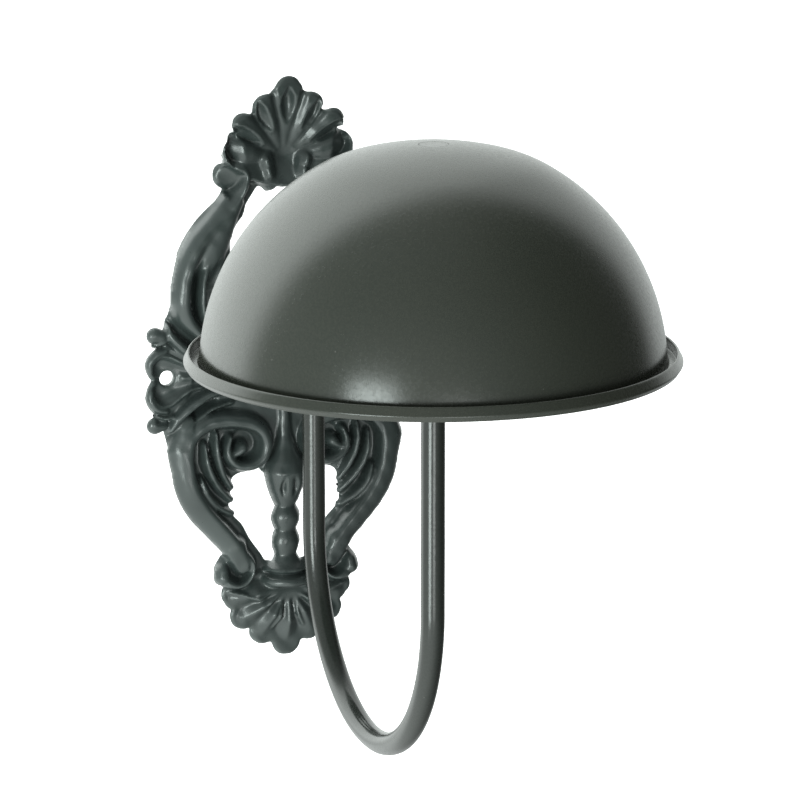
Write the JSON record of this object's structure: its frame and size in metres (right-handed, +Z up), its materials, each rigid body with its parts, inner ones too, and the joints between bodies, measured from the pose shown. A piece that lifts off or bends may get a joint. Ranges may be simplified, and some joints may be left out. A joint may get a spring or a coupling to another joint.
{
  "type": "wall bell",
  "caption": "Wall-mounted iron dome on a U-shaped rod arm, with a cast scrollwork wall plate; the dome turns on the screw at its crown.",
  "frame": {"origin": "back face of the wall plate, midway between its two screw holes", "axes": "+Y into the wall, the arm reaches out along -Y; +Z up; +X along the line of the two screw holes, to the right as seen from the front"},
  "size_m": [0.162, 0.2375, 0.2211],
  "materials": {
    "cast_plate": "satin black paint over sand-cast iron",
    "arm_paint": "satin black-olive paint on round bar",
    "dome_paint": "satin black-olive baked paint on spun steel",
    "fastener": "zinc plated, dulled",
    "bare_steel": "turned steel"
  },
  "bodies": {
    "bracket": {"wall_plate": "cast_plate", "rod_arm": "arm_paint", "arm_front_nut": "fastener", "arm_front_washer": "fastener", "arm_rear_washer": "fastener", "arm_rear_nut": "fastener", "crown_washer": "fastener", "crown_screw": "dome_paint"},
    "dome": {"dome_shell": "dome_paint", "crown_boss": "bare_steel"}
  },
  "joints": [
    {"name": "dome_turn", "type": "hinge", "parent": "bracket", "child": "dome", "pos_m": [0, -0.1565, 0.098], "axis": [0, 0, 1], "continuous": true}
  ]
}
